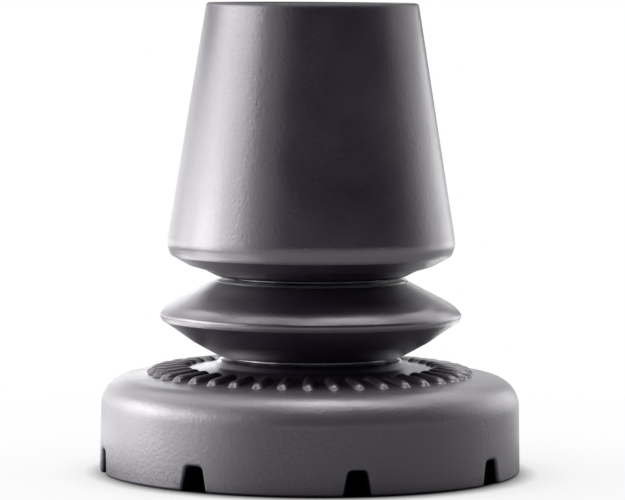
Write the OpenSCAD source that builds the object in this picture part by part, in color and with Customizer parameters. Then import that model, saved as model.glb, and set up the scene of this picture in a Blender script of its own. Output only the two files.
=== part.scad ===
// Rubber cane tip, moulded in one piece: a flared cup that grips the end of a cane, one bellows
// fold between two deep grooves, so that the foot can tilt, and a broad base with a tread.
// The origin is at the middle of the tread, on the floor, and +Z points up into the cane.

/* [Cane socket] */
// Diameter of the cane that the socket grips
cane_d = 19; // [14:0.5:24]
// Thickness of rubber under the socket, down to the upper groove
floor_t = 6.15; // [3:0.05:12]
// Width of the sloped lead-in round the socket's mouth
lead_in_w = 0.6; // [0.2:0.1:1]
// Height of that lead-in
lead_in_h = 0.9; // [0.3:0.1:2]
// Rounding where the socket's wall meets its floor
floor_r = 1; // [0.2:0.1:2]

/* [Cup] */
// Thickness of rubber round the cane at the mouth
wall = 3.15; // [2:0.05:5]
// Height of the cup's sloped side
cup_h = 29.75; // [20:0.25:45]
// How far the side widens on its way down to the lower edge
cup_flare = 4.95; // [2:0.05:9]
// Rounding of the lower edge
cup_edge_r = 1.9; // [0.5:0.1:2.5]
// Rounding of the mouth's outer edge
mouth_edge_r = 0.4; // [0.1:0.1:1]
// Height of the cup's sloped underside, from the upper groove to the lower edge
cup_under_h = 3.4; // [2:0.05:6]

/* [Bellows] */
// Diameter of the solid rubber left at the root of each groove
neck_d = 19.6; // [14:0.2:22]
// How far the fold reaches past the neck, to where its two slopes meet
fold_reach = 9.4; // [5:0.1:12]
// Height of the fold's underside, from the lower groove
fold_under_h = 5.6; // [3:0.05:9]
// Height of the fold's upper side, up to the upper groove
fold_over_h = 3.95; // [2:0.05:7]
// Rounding of the fold's edge
fold_edge_r = 1.2; // [0.4:0.1:2]
// Width of the flat ledge beside the upper groove
ledge_w = 1.7; // [0.6:0.1:3]
// Rounding at the root of each groove
root_r = 0.12; // [0.05:0.01:0.2]

/* [Base] */
// Diameter of the base where it stands on the floor
foot_d = 50.4; // [44:0.2:70]
// Height of the base, up to the lower groove
base_h = 13.4; // [10:0.1:20]
// Slope of the base's side, in degrees
side_draft = 1; // [0:0.5:5]
// Rounding of the shoulder, between the side and the dome
shoulder_r = 5.5; // [2:0.1:7]
// Fall of the dome, from the collar out to the side
dome_drop = 1.7; // [0.5:0.1:4]
// Width of the collar's flat top, beside the lower groove
collar_w = 1.1; // [0.5:0.1:2.5]
// Height of the collar on the dome
collar_h = 0.65; // [0.3:0.05:1.5]
// Rounding of the foot's lower edge
foot_edge_r = 0.4; // [0.1:0.1:0.8]

/* [Ribs on the dome] */
// Number of raised ribs
rib_count = 40; // [16:1:48]
// Length of each rib
rib_l = 5.1; // [2:0.1:6]
// Height of the ribs above the dome
rib_h = 0.65; // [0.3:0.05:1]
// Width of each rib, halfway along it
rib_w = 1.3; // [0.8:0.1:1.6]
// Distance from the ribs to the start of the rounded shoulder
rib_margin = 0.6; // [0.2:0.1:2]
// Slope of the ribs' two ends, measured along the dome
rib_end = 0.25; // [0.1:0.05:0.5]

/* [Tread] */
// Number of channels that run out through the rim
channel_count = 8; // [4:1:12]
// Width of a channel on the floor
channel_w = 3.3; // [2:0.1:5]
// Width of a channel at its top
channel_top_w = 2.2; // [1:0.1:4]
// Height of a channel
channel_h = 3; // [1.5:0.1:5]
// Diameter of the round pad in the middle
pad_d = 13; // [8:0.5:18]
// Width of the ring that stands round the pad
ring_w = 5.5; // [3:0.1:7]
// Width of the two round grooves on the floor
ring_groove_w = 2.6; // [1.5:0.1:3.5]
// Width of the two round grooves at their top
ring_groove_top_w = 1.8; // [1:0.1:3]
// Height of the two round grooves
ring_groove_h = 2; // [1:0.1:4]
// Rounding of the top corners of the channels and round grooves
groove_r = 0.6; // [0.2:0.1:1]

/* [Hidden] */
$fn = 96;
// Number of straight steps in each rounded corner
arc_steps = 10;
// How far a cutting shape runs past the surface that it cuts, and a rib into the dome
past = 1;
// Rounding of the small outer corners beside the grooves
small_r = 0.25;

// Radii
cane_r = cane_d / 2;
mouth_r = cane_r + wall;
cup_r = mouth_r + cup_flare;
neck_r = neck_d / 2;
fold_r = neck_r + fold_reach;
collar_r = neck_r + collar_w;
foot_r = foot_d / 2;
inner_groove_r = (pad_d + ring_groove_w) / 2;
outer_groove_r = inner_groove_r + ring_groove_w + ring_w;

// Heights above the floor, each standing on the one before
dome_top = base_h - collar_h;
dome_edge = dome_top - dome_drop;
fold_edge = base_h + fold_under_h;
fold_top = fold_edge + fold_over_h;
cup_edge = fold_top + cup_under_h;
mouth = cup_edge + cup_h;
socket_floor = fold_top + floor_t;

// The dome is a flat cone that meets the side at side_r, before the shoulder is rounded
side_r = foot_r - dome_edge * tan(side_draft);
dome_slope = atan(dome_drop / (side_r - collar_r));
shoulder_reach = shoulder_r / tan((90 + side_draft + dome_slope) / 2);
rib_out = side_r - shoulder_reach * cos(dome_slope) - rib_margin;
rib_in = rib_out - rib_l;
rib_angle = 2 * asin(rib_w / (rib_in + rib_out));

function dome_z(r) = dome_top - (r - collar_r) * tan(dome_slope);

function unit(v) = v / norm(v);

function turned(v, angle) = [
    v.x * cos(angle) - v.y * sin(angle),
    v.x * sin(angle) + v.y * cos(angle)
];

// The points of one corner, [x, y, rounding], between the corners before and after it.
// A rounding is held to what its two sides have room for.
function rounded_corner(before, corner, after) =
    let (
        tip = [corner.x, corner.y],
        back = [before.x, before.y] - tip,
        on = [after.x, after.y] - tip,
        half = acos(unit(back) * unit(on)) / 2,
        room = 0.48 * min(norm(back), norm(on)),
        reach = min(corner.z / tan(half), room),
        centre = tip + unit(unit(back) + unit(on)) * reach / cos(half),
        start = tip + unit(back) * reach - centre,
        sweep = -sign(cross(back, on)) * (180 - 2 * half)
    )
    corner.z == 0
        ? [tip]
        : [for (i = [0:arc_steps]) centre + turned(start, sweep * i / arc_steps)];

// A closed outline from a list of corners, each [x, y, rounding]
function rounded_outline(corners) =
    let (n = len(corners))
    [for (i = [0:n - 1])
        each rounded_corner(corners[(i + n - 1) % n], corners[i], corners[(i + 1) % n])];

// Half section of the whole moulding, from the middle of the floor up round the outside,
// over the mouth and down the socket
section = [
    [0, 0, 0],
    [foot_r, 0, foot_edge_r],
    [side_r, dome_edge, shoulder_r],
    [collar_r, dome_top, small_r],
    [collar_r, base_h, small_r],
    [neck_r, base_h, root_r],
    [fold_r, fold_edge, fold_edge_r],
    [neck_r + ledge_w, fold_top, small_r],
    [neck_r, fold_top, root_r],
    [cup_r, cup_edge, cup_edge_r],
    [mouth_r, mouth, mouth_edge_r],
    [cane_r + lead_in_w, mouth, 0],
    [cane_r, mouth - lead_in_h, 0],
    [cane_r, socket_floor, floor_r],
    [0, socket_floor, 0]
];

module moulding() {
    rotate_extrude()
        polygon(rounded_outline(section));
}

// One rib: a sector of a low ring that follows the slope of the dome
module dome_rib() {
    rotate([0, 0, -rib_angle / 2])
        rotate_extrude(angle = rib_angle)
            polygon([
                [rib_in, dome_z(rib_in) - past],
                [rib_in, dome_z(rib_in)],
                [rib_in + rib_end, dome_z(rib_in + rib_end) + rib_h],
                [rib_out - rib_end, dome_z(rib_out - rib_end) + rib_h],
                [rib_out, dome_z(rib_out)],
                [rib_out, dome_z(rib_out) - past]
            ]);
}

// Outline of a groove cut up into the tread: wider at the floor, with rounded top corners
function groove_outline(width, top_width, height) =
    rounded_outline([
        [-width / 2, -past, 0],
        [width / 2, -past, 0],
        [width / 2, 0, 0],
        [top_width / 2, height, groove_r],
        [-top_width / 2, height, groove_r],
        [-width / 2, 0, 0]
    ]);

// One channel of the tread, which runs out through the rim along +X
module channel() {
    translate([inner_groove_r, 0, 0])
        rotate([90, 0, 90])
            linear_extrude(foot_r + past - inner_groove_r)
                polygon(groove_outline(channel_w, channel_top_w, channel_h));
}

// One round groove of the tread, with its middle at radius r
module ring_groove(r) {
    rotate_extrude()
        translate([r, 0])
            polygon(groove_outline(ring_groove_w, ring_groove_top_w, ring_groove_h));
}

module rubber_tip() {
    color([0.16, 0.155, 0.175])
        difference() {
            union() {
                moulding();
                for (i = [0:rib_count - 1])
                    rotate([0, 0, (i + 0.5) * 360 / rib_count])
                        dome_rib();
            }
            for (i = [0:channel_count - 1])
                rotate([0, 0, i * 360 / channel_count])
                    channel();
            ring_groove(inner_groove_r);
            ring_groove(outer_groove_r);
        }
}

rubber_tip();
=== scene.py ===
"""Rubber cane tip: one dark moulding with a socket cup, a bellows fold and a broad grooved foot."""

import cmath
import math

import bmesh
import bpy
import numpy as np
from mathutils import Matrix, Vector


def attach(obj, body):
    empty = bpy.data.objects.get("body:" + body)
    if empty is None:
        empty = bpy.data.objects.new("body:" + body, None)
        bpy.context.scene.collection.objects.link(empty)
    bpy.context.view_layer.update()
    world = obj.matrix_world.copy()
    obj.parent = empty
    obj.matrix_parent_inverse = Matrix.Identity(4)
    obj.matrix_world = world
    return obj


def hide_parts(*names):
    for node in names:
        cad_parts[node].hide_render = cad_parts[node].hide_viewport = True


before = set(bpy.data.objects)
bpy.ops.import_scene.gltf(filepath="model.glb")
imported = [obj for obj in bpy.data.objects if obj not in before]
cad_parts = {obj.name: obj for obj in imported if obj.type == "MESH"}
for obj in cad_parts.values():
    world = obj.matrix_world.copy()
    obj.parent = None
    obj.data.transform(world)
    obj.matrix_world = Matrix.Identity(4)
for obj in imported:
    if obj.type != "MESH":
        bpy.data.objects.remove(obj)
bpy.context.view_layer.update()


# Rubber moulding: the whole tip is a single piece of black rubber, pressed and cured in a split
# steel mould. The cup, the fold and the foot are turned forms on one axis; the ribs on the dome
# and the channels of the tread are cut into the mould. All sizes here are in millimetres.

RIBS = 40
CHANNELS = 8
COLUMNS = 480  # points round the foot: 12 to each rib, 60 to each channel
PER_CHANNEL = COLUMNS // CHANNELS
FINE_ROUNDING = 0.25  # a rounding smaller than this only breaks a sharp edge
FINE_STEPS = 3  # and this many steps are enough for it
ARC_REACH = 0.48  # the most of a straight side that one arc may take


def rounded(corners, steps):
    """The line through corners (r, z, rounding) as complex numbers r + zi, with arcs of this many
    steps, or of a few where the rounding only breaks an edge."""
    line = []
    for i, (r, z, rounding) in enumerate(corners):
        tip = complex(r, z)
        if rounding == 0:
            line.append(tip)
            continue
        back = complex(*corners[i - 1][:2]) - tip
        on = complex(*corners[i + 1][:2]) - tip
        turn = cmath.phase(on / back)
        half = abs(turn) / 2
        reach = min(rounding / math.tan(half), ARC_REACH * min(abs(back), abs(on)))
        inward = back / abs(back) + on / abs(on)
        middle = tip + inward / abs(inward) * reach / math.cos(half)
        start = tip + back / abs(back) * reach - middle
        sweep = -math.copysign(math.pi - 2 * half, turn)
        count = steps if rounding >= FINE_ROUNDING else min(steps, FINE_STEPS)
        line += [middle + start * cmath.rect(1, sweep * k / count) for k in range(count + 1)]
    return line


def spaced(line, longest):
    """The same line with no step longer than this."""
    out = [line[0]]
    for a, b in zip(line, line[1:]):
        parts = max(1, math.ceil(abs(b - a) / longest))
        out += [a + (b - a) * k / parts for k in range(1, parts + 1)]
    return out


# The turned part above the foot: slit, fold, slit, cup, mouth and socket. The fold's rim and the
# cup's lip are softly rounded and end below in a crisp edge, where the mould's halves meet.
UPPER_STEPS = 7
LONGEST_STEP = 2.5
upper_line = rounded(
    [
        (10.9, 13.45, 0),
        (9.43, 13.55, 0.06),
        (9.4, 13.87, 0.06),
        (11.1, 13.94, 0.2),
        (14.2, 15.66, 3.0),
        (16.25, 17.12, 2.0),
        (17.8, 18.15, 0.15),
        (18.15, 18.85, 0.6),
        (17.15, 19.98, 3.8),
        (11.62, 22.85, 0.15),
        (11.5, 23.08, 0.1),
        (9.43, 23.16, 0.06),
        (9.4, 23.46, 0.06),
        (11.35, 23.5, 0.15),
        (12.95, 24.3, 1.5),
        (14.7, 24.8, 1.5),
        (16.76, 25.95, 0.12),
        (16.98, 26.31, 3.2),
        (17.22, 27.15, 3.2),
        (17.22, 27.86, 3.2),
        (12.65, 56.1, 0.4),
        (10.1, 56.1, 0.15),
        (9.5, 55.2, 0.2),
        (9.5, 29.1, 1.0),
        (0, 29.1, 0),
    ],
    UPPER_STEPS,
)[1:-1]
upper_line = spaced(upper_line, LONGEST_STEP)

# The foot: collar, dome, shoulder and side
FOOT_STEPS = 14
FOOT_R = 25.2
DRAFT = math.tan(math.radians(1))
DOME_TOP, DOME_EDGE, COLLAR_R = 12.75, 11.05, 10.9
SIDE_R = FOOT_R - DOME_EDGE * DRAFT
DOME_FALL = (DOME_TOP - DOME_EDGE) / (SIDE_R - COLLAR_R)
COLLAR_SLOPE = 0.85  # how far the collar's foot reaches out over the dome
LOW_SIDE = 4.6  # where the side starts to follow the mouths of the channels
foot_line = rounded(
    [
        (9.8, 13.52, 0),
        (COLLAR_R, 13.45, 0.12),
        (COLLAR_R + COLLAR_SLOPE, DOME_TOP - COLLAR_SLOPE * DOME_FALL, 0.8),
        (SIDE_R, DOME_EDGE, 5.5),
        (FOOT_R - LOW_SIDE * DRAFT, LOW_SIDE, 0),
    ],
    FOOT_STEPS,
)
# The collar's points are those of its sharp corner and of the corner at its foot
collar_end = 1 + (FINE_STEPS + 1) + (FOOT_STEPS + 1)
collar_line, shoulder_line = foot_line[1:collar_end], foot_line[collar_end:]

# Angles of the columns on the dome, packed closely at the walls of the ribs, and each column's
# distance from the middle of its rib as a share of the rib's half width. The first column is
# between two ribs.
RIB_IN, RIB_OUT, RIB_W, RIB_H = 14.55, 19.65, 1.3, 0.65
rib_half = math.degrees(math.asin(RIB_W / (RIB_IN + RIB_OUT)))
across = [0.35, 0.65, 0.88, 1.0, 1.4]
pitch = 360 / RIBS
across = [-a for a in reversed(across)] + [0] + across
dome_angle = np.array([0] + [pitch / 2 + a * rib_half for a in across])
dome_angle = np.concatenate([dome_angle + i * pitch for i in range(RIBS)])
off_middle = np.tile([2] + [abs(a) for a in across], RIBS)

# Half outline of a channel's mouth, from its middle out to the tread, and its normals into the
# rubber. The channel is wider at the floor than at its top.
CHANNEL_H = 3
mouth = rounded([(0, CHANNEL_H, 0), (1.1, CHANNEL_H, 0.6), (1.65, 0, 0.42), (2.4, 0, 0)], 5)
EDGE = len(mouth) - 1
tangent = [1] + [(b - a) / abs(b - a) for a, b in zip(mouth, mouth[2:])] + [1]
mouth_in = [1j * t for t in tangent]
EDGE_R = 0.35  # rounding of the foot's lower edge and of the channels' mouths


def foot_columns(offsets, r):
    """Angles, in degrees, of all columns at radius r, where offsets are the distances of the first
    few columns from a channel's middle. Those between two channels are spaced evenly."""
    r = np.broadcast_to(r, (PER_CHANNEL,))
    near = np.degrees(np.arcsin(np.array(offsets) / r[: EDGE + 1]))
    sector = np.empty(PER_CHANNEL)
    sector[: EDGE + 1] = near
    sector[PER_CHANNEL - EDGE :] = 360 / CHANNELS - near[:0:-1]
    sector[EDGE : PER_CHANNEL - EDGE + 1] = np.linspace(
        near[-1], 360 / CHANNELS - near[-1], PER_CHANNEL - 2 * EDGE + 1
    )
    return np.concatenate([sector + i * 360 / CHANNELS for i in range(CHANNELS)])


def foot_values(near, land):
    """One value for each column, from those at a channel's mouth and the one between channels."""
    sector = np.full(PER_CHANNEL, float(land))
    sector[: EDGE + 1] = near
    sector[PER_CHANNEL - EDGE :] = near[:0:-1]
    return np.tile(sector, CHANNELS)


rings = []  # from the collar down to the middle of the tread


def ring(angles, r, z):
    """Add a ring of the foot: its angles in degrees, its radii and its heights."""
    rings.append((angles, np.broadcast_to(r, (COLUMNS,)), np.broadcast_to(z, (COLUMNS,))))


for p in collar_line:
    ring(dome_angle, p.real, p.imag)

# Rings on the dome, most of them where the ribs start and end. Each rib is half round, with
# tapered ends.
RIB_TAPER = 1.1  # how far each end of a rib takes to come down to the dome
RIB_CURVE = 0.55  # 0.5 would be a true ellipse
rib_ends = [-0.03, 0.0, 0.02, 0.08, 0.2, 0.38, 0.65, 1.1]
rib_places = (
    [12.3, 13.0, 13.8]
    + [RIB_IN + d for d in rib_ends]
    + [RIB_IN + d for d in (1.6, 2.55, 3.5)]
    + [RIB_OUT - d for d in reversed(rib_ends)]
)
for r in rib_places:
    off_end = max(0, RIB_IN + RIB_TAPER - r, r - RIB_OUT + RIB_TAPER) / RIB_TAPER
    rise = RIB_H * np.maximum(0, 1 - off_end**2 - off_middle**2) ** RIB_CURVE
    ring(dome_angle, r, DOME_TOP - (r - COLLAR_R) * DOME_FALL + rise)

# Shoulder and side: going down, the columns move from the places of the ribs to those of the
# channels.
even = np.linspace(0, mouth[-1].real, EDGE + 1)
side_line = shoulder_line[:-1] + [complex(FOOT_R - z * DRAFT, z) for z in (6.3, 5.3, LOW_SIDE)]
for i, p in enumerate(side_line):
    turned = i / (len(side_line) - 1)
    ring((1 - turned) * dome_angle + turned * foot_columns(even, p.real), p.real, p.imag)

# Lower edge of the foot: each column starts on the side, EDGE_R outside the mouth of the channel or
# above the tread, and rounds over into it
EDGE_STEPS = 5
starts = [p + n * EDGE_R for p, n in zip(mouth, mouth_in)]
for share in (0.6, 0.25):
    near = [share * complex(e, LOW_SIDE) + (1 - share) * s for e, s in zip(even, starts)]
    z = foot_values([p.imag for p in near], share * LOW_SIDE + (1 - share) * EDGE_R)
    r = FOOT_R - z * DRAFT
    ring(foot_columns([p.real for p in near], r[:PER_CHANNEL]), r, z)
for step in range(EDGE_STEPS + 1):
    a = math.radians(90 * step / EDGE_STEPS)
    near = [p + n * EDGE_R * (1 - math.sin(a)) for p, n in zip(mouth, mouth_in)]
    z = foot_values([p.imag for p in near], EDGE_R * (1 - math.sin(a)))
    r = FOOT_R - z * DRAFT - EDGE_R * (1 - math.cos(a))
    ring(foot_columns([p.real for p in near], r[:PER_CHANNEL]), r, z)

# Tread: land, outer round groove, ring, inner round groove and pad. The channels run in to the
# middle of the inner groove. Further in, where there are none, the columns keep their angles.
INNER_GROOVE, OUTER_GROOVE = 7.8, 15.9
GROOVE_H = 2.0
END_WALL = 0.03  # half of the small step where the channels end
groove = rounded([(0, GROOVE_H, 0), (0.9, GROOVE_H, 0.6), (1.3, 0, 0.3), (1.9, 0, 0)], 2)
channel_z = foot_values([p.imag for p in mouth], 0)
offsets = [p.real for p in mouth]
stations = [(r, 0) for r in (24.2, 22.0, 19.8)]
stations += [(OUTER_GROOVE + p.real, p.imag) for p in reversed(groove)]
stations += [(OUTER_GROOVE - p.real, p.imag) for p in groove[1:]]
stations += [(INNER_GROOVE + p.real, p.imag) for p in reversed(groove[1:])]
stations += [(INNER_GROOVE + END_WALL, GROOVE_H), (INNER_GROOVE - END_WALL, GROOVE_H)]
stations += [(INNER_GROOVE - p.real, p.imag) for p in groove[1:]]
for r, groove_z in stations:
    z = np.maximum(channel_z, groove_z) if r > INNER_GROOVE else groove_z
    ring(foot_columns(offsets, max(r, INNER_GROOVE)), r, z)
pad_angles = rings[-1][0]
ring(pad_angles, 3.0, 0)

MM = 0.001  # a millimetre in metres
shape = bmesh.new()


def turned_ring(angles, r, z):
    """Vertices of one ring, in metres."""
    a = np.radians(angles)
    places = np.stack(np.broadcast_arrays(r * np.cos(a), r * np.sin(a), z), axis=1) * MM
    return [shape.verts.new(p) for p in places]


def band(one, other):
    """Four-sided faces between two rings of equal count."""
    for i in range(len(one)):
        j = (i + 1) % len(one)
        shape.faces.new((one[i], one[j], other[j], other[i]))


def closed(ring_verts, z):
    """A fan of faces to a point on the axis."""
    middle = shape.verts.new((0, 0, z * MM))
    for i in range(len(ring_verts)):
        shape.faces.new((ring_verts[i], ring_verts[(i + 1) % len(ring_verts)], middle))


foot_rings = [turned_ring(*one) for one in rings]
for one, other in zip(foot_rings, foot_rings[1:]):
    band(one, other)
closed(foot_rings[-1], 0)
upper_angle = np.arange(0, 360, 720 / COLUMNS)  # half as many columns as the foot has
upper_rings = [turned_ring(upper_angle, p.real, p.imag) for p in upper_line if p.real > 0.01]
for one, other in zip(upper_rings, upper_rings[1:]):
    band(one, other)
closed(upper_rings[-1], upper_line[-1].imag)

# Inside the lower slit, three faces join each column of the upper part to two of the foot
low, high = foot_rings[0], upper_rings[0]
for i in range(len(high)):
    j = (i + 1) % len(high)
    a, b, c = low[2 * i], low[2 * i + 1], low[(2 * i + 2) % COLUMNS]
    for face in ((a, b, high[i]), (b, c, high[j]), (b, high[j], high[i])):
        shape.faces.new(face)
bmesh.ops.recalc_face_normals(shape, faces=shape.faces)
mesh = bpy.data.meshes.new("rubber_moulding")
shape.to_mesh(mesh)
shape.free()
mesh.shade_smooth()
moulding = bpy.data.objects.new("rubber_moulding", mesh)
bpy.context.collection.objects.link(moulding)
flats_first = moulding.modifiers.new("flats keep their shading", "WEIGHTED_NORMAL")
flats_first.weight = 80

# Its rubber: near black with a faint violet cast and a half gloss, broken by the fine pitted grain
# of the mould. Bloom makes it paler and duller in patches and on the foot, the shoulder is scuffed,
# the lips in the slits are polished and the mouth's top face is matt, with a painted shade: its
# colour is darker still, for the dark line along the rim.
def node(kind, label, **values):
    """A shader node in the tree at hand, with its label, properties and values of its sockets."""
    made = tree.nodes.new("ShaderNode" + kind)
    made.label = label
    for name, value in values.items():
        if hasattr(made, name):
            setattr(made, name, value)
        else:
            made.inputs[name.replace("_", " ")].default_value = value
    return made


def join(source, target):
    tree.links.new(source, target)


def graded(source, label, stops):
    """Grey values that follow a source, from stops of (the source's value, grey value)."""
    ramp = node("ValToRGB", label)
    greys = ramp.color_ramp.elements
    greys.remove(greys[1])
    greys[0].position, greys[0].color = stops[0][0], (*[stops[0][1]] * 3, 1)
    for position, value in stops[1:]:
        greys.new(position).color = (value, value, value, 1)
    join(source, ramp.inputs["Fac"])
    return ramp.outputs["Color"]


# Fine grain, which both rubbers have
fine_grain = bpy.data.node_groups.new("fine grain", "ShaderNodeTree")
fine_grain.interface.new_socket("Vector", in_out="INPUT", socket_type="NodeSocketVector")
fine_grain.interface.new_socket("Scale", in_out="INPUT", socket_type="NodeSocketFloat")
fine_grain.interface.new_socket("Detail", in_out="INPUT", socket_type="NodeSocketFloat")
fine_grain.interface.new_socket("Fac", in_out="OUTPUT", socket_type="NodeSocketFloat")
tree = fine_grain
given = tree.nodes.new("NodeGroupInput")
speckle = node("TexNoise", "fine grain", Roughness=0.6)
for name in ("Vector", "Scale", "Detail"):
    join(given.outputs[name], speckle.inputs[name])
join(speckle.outputs["Fac"], tree.nodes.new("NodeGroupOutput").inputs["Fac"])

rubber = bpy.data.materials.new("moulded black rubber")
rubber.use_nodes = True
tree = rubber.node_tree
tree.nodes.clear()
place = node("TexCoord", "place on the tip").outputs["Object"]
grain = node("Group", "grain of the mould", node_tree=fine_grain, Scale=2300, Detail=3)
pits = node("TexVoronoi", "small pits", Scale=1100, Randomness=1)
waves = node("TexNoise", "unevenness of the mould", Scale=330, Detail=2, Roughness=0.5)
patches = node("TexNoise", "patches of bloom", Scale=75, Detail=4, Roughness=0.6)
for one in (grain, pits, waves, patches):
    join(place, one.inputs["Vector"])
height = node("SeparateXYZ", "height above the floor")
join(place, height.inputs["Vector"])
level = node("MapRange", "height as a share of 60 mm", From_Min=0.0, From_Max=0.06)
join(height.outputs["Z"], level.inputs["Value"])


def zones(label, *stops):
    """Values that follow the height, from stops of (height in mm, value)."""
    return graded(level.outputs["Result"], label, [(mm / 60, value) for mm, value in stops])


foot_zone = zones("foot's side and shoulder", (11.3, 1), (11.7, 0))
shoulder_zone = zones("scuffed shoulder", (7.6, 0), (9.2, 1), (11.3, 1), (11.8, 0))
mouth_zone = zones("trimmed mouth", (55.75, 0), (55.9, 1))
gloss_zones = zones(
    "dull side, worn shoulder, glossier fold and cup, polished lips in the grooves, matt mouth",
    (7.0, 0.41), (9.6, 0.34), (11.3, 0.34), (11.7, 0.31),
    (13.2, 0.27), (13.36, 0.14), (13.86, 0.14), (13.94, 0.28),
    (22.8, 0.28), (22.88, 0.14), (23.44, 0.14), (23.52, 0.28),
    (55.75, 0.28), (55.9, 0.85),
)

pit_depth = node("MapRange", "depth of the pits", From_Min=0.0, From_Max=0.3, To_Min=-1.0, To_Max=0)
join(pits.outputs["Distance"], pit_depth.inputs["Value"])
coarseness = node("MapRange", "coarser on the foot", To_Min=0.6, To_Max=1.2)
join(foot_zone, coarseness.inputs["Value"])
coarse_grain = node("Math", "grain, coarser on the foot", operation="MULTIPLY")
join(grain.outputs["Fac"], coarse_grain.inputs[0])
join(coarseness.outputs["Result"], coarse_grain.inputs[1])
grain_and_pits = node("Math", "grain and pits", operation="MULTIPLY_ADD")
grain_and_pits.inputs[1].default_value = 0.35
join(pit_depth.outputs["Result"], grain_and_pits.inputs[0])
join(coarse_grain.outputs[0], grain_and_pits.inputs[2])
uneven = node("Math", "with unevenness", operation="MULTIPLY_ADD")
uneven.inputs[1].default_value = 0.9
join(waves.outputs["Fac"], uneven.inputs[0])
join(grain_and_pits.outputs[0], uneven.inputs[2])
relief = node("Bump", "relief", Strength=0.5, Distance=0.00006)
join(uneven.outputs[0], relief.inputs["Height"])

patchy = node("MapRange", "bloom in patches", From_Min=0.3, From_Max=0.7, To_Min=0.0, To_Max=0.4)
join(patches.outputs["Fac"], patchy.inputs["Value"])
bloomed = node("Math", "bloom, most on the foot", operation="MULTIPLY_ADD")
bloomed.inputs[1].default_value = 0.8
join(foot_zone, bloomed.inputs[0])
join(patchy.outputs["Result"], bloomed.inputs[2])
colour = node("MixRGB", "rubber and bloom")
colour.inputs["Color1"].default_value = (0.0085, 0.0045, 0.0135, 1)
colour.inputs["Color2"].default_value = (0.021, 0.0165, 0.029, 1)
join(bloomed.outputs[0], colour.inputs["Fac"])
scuffed = node("MixRGB", "rubber, bloom and scuffs")
scuffed.inputs["Color2"].default_value = (0.08, 0.076, 0.083, 1)
join(shoulder_zone, scuffed.inputs["Fac"])
join(colour.outputs["Color"], scuffed.inputs["Color1"])
# Painted shade: the mouth's top face is darker than the rubber, for the dark line along the rim
shade_painted = node("MixRGB", "with painted shade on the mouth's top face")
shade_painted.inputs["Color2"].default_value = (0.004, 0.004, 0.005, 1)
join(mouth_zone, shade_painted.inputs["Fac"])
join(scuffed.outputs["Color"], shade_painted.inputs["Color1"])
dull = node("MapRange", "dullness", From_Min=0.3, From_Max=0.7, To_Min=0.0, To_Max=0.1)
join(patches.outputs["Fac"], dull.inputs["Value"])
dullness = node("Math", "dullness with patches", operation="ADD")
join(gloss_zones, dullness.inputs[0])
join(dull.outputs["Result"], dullness.inputs[1])

surface = node("BsdfPrincipled", "black rubber", IOR=1.7)
surface.inputs["Specular IOR Level"].default_value = 1.0
surface.inputs["Specular Tint"].default_value = (0.995, 0.965, 1.0, 1)
join(shade_painted.outputs["Color"], surface.inputs["Base Color"])
join(dullness.outputs[0], surface.inputs["Roughness"])
join(relief.outputs["Normal"], surface.inputs["Normal"])
join(surface.outputs["BSDF"], node("OutputMaterial", "surface").inputs["Surface"])
mesh.materials.append(rubber)

# The tread and the walls of its channels are matt, with grit pressed into the rubber, and painted
# near black, a painted shade that keeps the channels dark inside.
tread_painted_dark = bpy.data.materials.new("matt black tread")
tread_painted_dark.use_nodes = True
tree = tread_painted_dark.node_tree
tree.nodes.clear()
grit = node("Group", "grit", node_tree=fine_grain, Scale=1500, Detail=4)
join(node("TexCoord", "place on the tip").outputs["Object"], grit.inputs["Vector"])
grit_relief = node("Bump", "relief of the grit", Strength=0.6, Distance=0.00006)
join(grit.outputs["Fac"], grit_relief.inputs["Height"])
# Painted shade: the tread's colour is near black so that its channels read as dark recesses
painted_shade = node("MixRGB", "soot and grit")
painted_shade.inputs["Color1"].default_value = (0.003, 0.003, 0.0035, 1)
painted_shade.inputs["Color2"].default_value = (0.012, 0.011, 0.012, 1)
join(grit.outputs["Fac"], painted_shade.inputs["Fac"])
matt_surface = node("BsdfPrincipled", "matt rubber", Roughness=0.8)
matt_surface.inputs["Specular IOR Level"].default_value = 0.15
join(painted_shade.outputs["Color"], matt_surface.inputs["Base Color"])
join(grit_relief.outputs["Normal"], matt_surface.inputs["Normal"])
join(matt_surface.outputs["BSDF"], node("OutputMaterial", "surface").inputs["Surface"])
mesh.materials.append(tread_painted_dark)
TREAD_RADIUS, TREAD_HEIGHT = 0.02475, 0.0033  # up to just inside the side and over the channels
for face in mesh.polygons:
    at = face.center
    on_tread = math.hypot(at.x, at.y) < TREAD_RADIUS and at.z < TREAD_HEIGHT
    face.material_index = 1 if on_tread else 0

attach(moulding, "root")
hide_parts("rubber_tip")


# Floor: a plain white sheet, which the camera and the rubber's gloss see as clean white. Close to
# the tip a share of its own shading stays, for a soft shadow, and under the foot all of it. Its
# grey
# is a painted contact shadow: near black round the foot and set a little towards the camera, for a
# dark line where the two touch.
floor_mesh = bpy.data.meshes.new("white_floor")
SHEET = 3.0  # half of its side
floor_mesh.from_pydata(
    [(-SHEET, -SHEET, 0), (SHEET, -SHEET, 0), (SHEET, SHEET, 0), (-SHEET, SHEET, 0)],
    [],
    [(0, 1, 2, 3)],
)
floor = bpy.data.objects.new("white_floor", floor_mesh)
floor.location.z = -0.00005  # a hair below the tread, so that their faces don't coincide
bpy.context.collection.objects.link(floor)
paper = bpy.data.materials.new("white paper")
paper.use_nodes = True
tree = paper.node_tree
tree.nodes.clear()
matt = node("BsdfDiffuse", "paper")
white = node("Emission", "clean white", Color=(1, 1, 1, 1), Strength=1)
ray = node("LightPath", "what looks at it")
aside = node("VectorMath", "from the middle of the contact shadow", operation="SUBTRACT")
aside.inputs[1].default_value = (-0.00014, -0.0015, 0)
join(node("TexCoord", "place on the floor").outputs["Object"], aside.inputs[0])
away = node("VectorMath", "distance from it", operation="LENGTH")
join(aside.outputs["Vector"], away.inputs[0])
distance = away.outputs["Value"]
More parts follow.
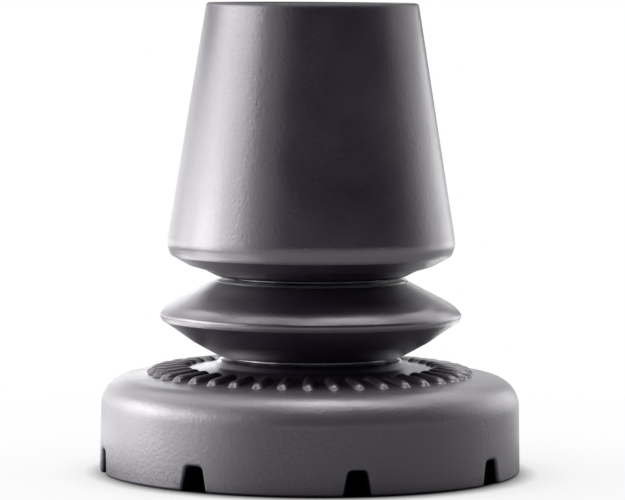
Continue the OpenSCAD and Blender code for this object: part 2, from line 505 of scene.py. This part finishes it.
# Painted shadow: the paper's colour is near black just round the foot and pales outwards
painted_shadow_greys = ((0.0254, 0.01), (0.0258, 0.06), (0.0266, 0.35), (0.029, 0.5))
join(graded(distance, "paper, painted shadow round the foot", painted_shadow_greys), matt.inputs["Color"])
shares = []
for looker, stops in (
    ("Is Camera Ray", ((0.0255, 0), (0.0275, 0.82), (0.05, 0.94), (0.1, 1))),
    ("Is Glossy Ray", ((0.08, 0), (0.25, 1))),
):
    share = node("Math", "share of clean white", operation="MULTIPLY")
    join(ray.outputs[looker], share.inputs[0])
    join(graded(distance, "cleaner away from the tip", stops), share.inputs[1])
    shares.append(share.outputs[0])
clean_share = node("Math", "camera or gloss", operation="MAXIMUM")
for source, target in zip(shares, clean_share.inputs):
    join(source, target)
mixed = node("MixShader", "paper with clean white")
join(clean_share.outputs[0], mixed.inputs["Fac"])
join(matt.outputs[0], mixed.inputs[1])
join(white.outputs[0], mixed.inputs[2])
join(mixed.outputs[0], node("OutputMaterial", "surface").inputs["Surface"])
floor_mesh.materials.append(paper)


# Light: a small white tent for photographing goods, brightest low at the left, with a strip of
# light overhead and a dark side where the camera looks in. Small cards close to the tip light its
# slits and its foot. The room shows white only to the camera.
CAMERA_SIDE = math.radians(257.3)  # direction from the tip to the camera, round Z


def lit_panel(name, wide, high, radiance):
    """A panel of light, with its sides in metres. Radiance is how bright its face is."""
    lamp = bpy.data.lights.new(name, "AREA")
    lamp.shape = "RECTANGLE"
    lamp.size, lamp.size_y = wide, high
    lamp.energy = radiance * math.pi * wide * high
    panel = bpy.data.objects.new(name, lamp)
    bpy.context.collection.objects.link(panel)
    panel.visible_camera = False
    return panel


def soft_panel(name, turn, rise, wide, high, radiance, distance=0.8, aim=0.028):
    """A panel that faces the tip's axis at height aim. Turn is its angle from the camera's side,
    positive to the camera's right, and rise its angle above the floor, in degrees."""
    panel = lit_panel(name, wide, high, radiance)
    a, e = CAMERA_SIDE + math.radians(turn), math.radians(rise)
    away = Vector((math.cos(a) * math.cos(e), math.sin(a) * math.cos(e), math.sin(e)))
    panel.location = Vector((0, 0, aim)) + away * distance
    panel.rotation_euler = away.to_track_quat("Z", "Y").to_euler()


def floor_card(turn, radiance, distance=0.065, height=0.001):
    """A small card flat on the floor beside the foot, which throws its light up."""
    card = lit_panel(f"floor_card_{turn}", wide=0.034, high=0.06, radiance=radiance)
    a = CAMERA_SIDE + math.radians(turn)
    card.location = (distance * math.cos(a), distance * math.sin(a), height)
    card.rotation_euler = (math.pi, 0, a + math.pi / 2)


LOW_CARD, WALL_PANEL = (0.0975, 0.07), (0.403, 0.225)  # width and height
HIGH_PANEL, ROOF_PANEL, ROOF_STRIP = (0.319, 0.34), (0.25, 0.22), (0.25, 0.16)
for turn, radiance in (
    (-165, 1.4), (-140, 2.2), (-115, 4.1), (-90, 7.2), (-65, 2.4),
    (115, 1.8), (140, 2.8),
):
    soft_panel(f"low_card_{turn}", turn, 0, *LOW_CARD, radiance, distance=0.22, aim=0.036)
for turn, radiance in ((-120, 2.8), (-90, 4.0), (-60, 1.6), (140, 2.0)):
    floor_card(turn, radiance)
soft_panel("back_wall", turn=180, rise=9, wide=0.5, high=0.12, radiance=2.2)
for turn, radiance in (
    (-165, 2.0), (-135, 1.4), (-105, 7.4), (-75, 6.0), (-45, 0.8),
    (105, 1.1), (135, 2.8), (165, 0.4),
):
    soft_panel(f"wall_panel_{turn}", turn, 20, *WALL_PANEL, radiance)
for turn, radiance in (
    (-135, 3.2), (-105, 1.0), (-75, 0.4), (105, 0.7), (135, 2.2), (165, 2.7),
):
    soft_panel(f"high_panel_{turn}", turn, 42, *HIGH_PANEL, radiance)
for turn, rise, radiance in ((-90, 62, 3.6), (-90, 78, 2.4), (90, 78, 6.4), (90, 62, 3.8)):
    soft_panel(f"roof_panel_{turn}_{rise}", turn, rise, *ROOF_PANEL, radiance)
soft_panel("roof_strip", 180, 84, *ROOF_STRIP, 8.5)
soft_panel("front_roof_strip", 0, 84, *ROOF_STRIP, 0.8)
soft_panel("front_roof_panel", turn=0, rise=66, wide=0.25, high=0.28, radiance=2.6)

room = bpy.data.worlds.new("dim room")
bpy.context.scene.world = room
room.use_nodes = True
tree = room.node_tree
tree.nodes.clear()
ray = node("LightPath", "what looks at it")
tone = node("MixRGB", "white to the camera, dim to the tip")
tone.inputs["Color1"].default_value = (0.03, 0.022, 0.042, 1)
tone.inputs["Color2"].default_value = (1, 1, 1, 1)
join(ray.outputs["Is Camera Ray"], tone.inputs["Fac"])
glow = node("Background", "room")
join(tone.outputs["Color"], glow.inputs["Color"])
join(glow.outputs[0], node("OutputWorld", "room").inputs["Surface"])


# Camera: a long lens 480 mm from the tip's axis, a little above the cup's mouth. It looks slightly
# down and is rolled by a third of a degree.
LENS_TO_AXIS, CAMERA_Z = 0.480, 0.0606
PAN, TILT, ROLL = 0.02, 4.06, 0.35  # in degrees: to the right, down and round the line of sight
camera_data = bpy.data.cameras.new("camera")
camera_data.sensor_width, camera_data.lens = 36, 231.4
camera_data.clip_start, camera_data.clip_end = 0.01, 20
camera = bpy.data.objects.new("camera", camera_data)
bpy.context.collection.objects.link(camera)
bpy.context.scene.camera = camera
spot = Vector((math.cos(CAMERA_SIDE), math.sin(CAMERA_SIDE), 0)) * LENS_TO_AXIS
spot.z = CAMERA_Z
heading = CAMERA_SIDE - math.radians(270) - math.radians(PAN)
camera.matrix_world = (
    Matrix.Translation(spot)
    @ Matrix.Rotation(heading, 4, "Z")
    @ Matrix.Rotation(math.radians(90 - TILT), 4, "X")
    @ Matrix.Rotation(math.radians(ROLL), 4, "Z")
)

bpy.context.scene.view_settings.view_transform = "Standard"
bpy.context.view_layer.update()
